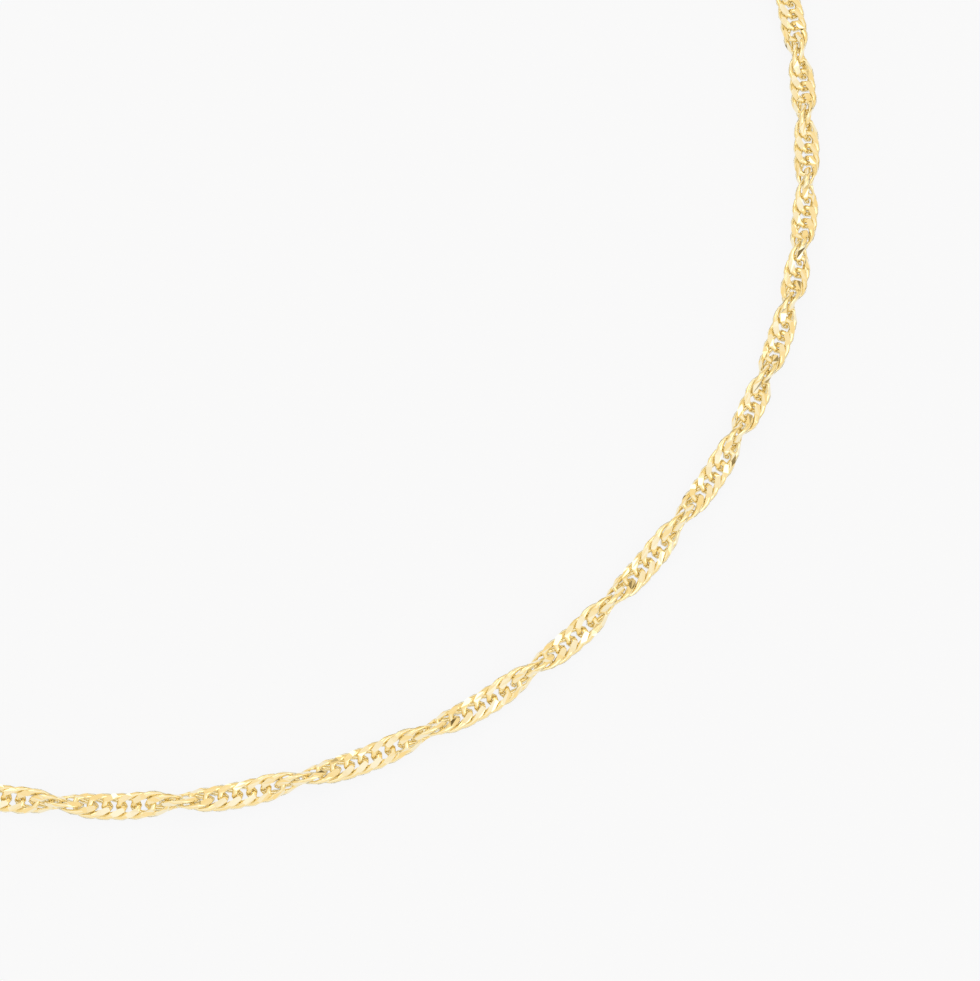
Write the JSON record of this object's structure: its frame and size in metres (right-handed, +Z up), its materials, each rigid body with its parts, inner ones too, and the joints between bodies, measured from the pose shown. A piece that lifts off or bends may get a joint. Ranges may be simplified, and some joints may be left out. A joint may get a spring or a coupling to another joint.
{
  "type": "twisted neck chain",
  "caption": "Singapore neck chain of fine gold curb links twisted into a rope-like ribbon, closed in a loop by a small clasp.",
  "frame": {"origin": "middle of the loop, on the surface that the chain lies on", "axes": "+Z up, +Y from the front of the loop to the clasp at its back, +X to the right seen from above with the clasp at the top"},
  "size_m": [0.1272, 0.128, 0.0028],
  "materials": {
    "gold": "polished yellow gold with diamond-cut faces"
  },
  "bodies": {
    "root": {"chain": "gold", "end_link_left": "gold", "end_link_right": "gold", "jump_ring": "gold", "catch_ring": "gold", "clasp": "gold"}
  },
  "joints": []
}
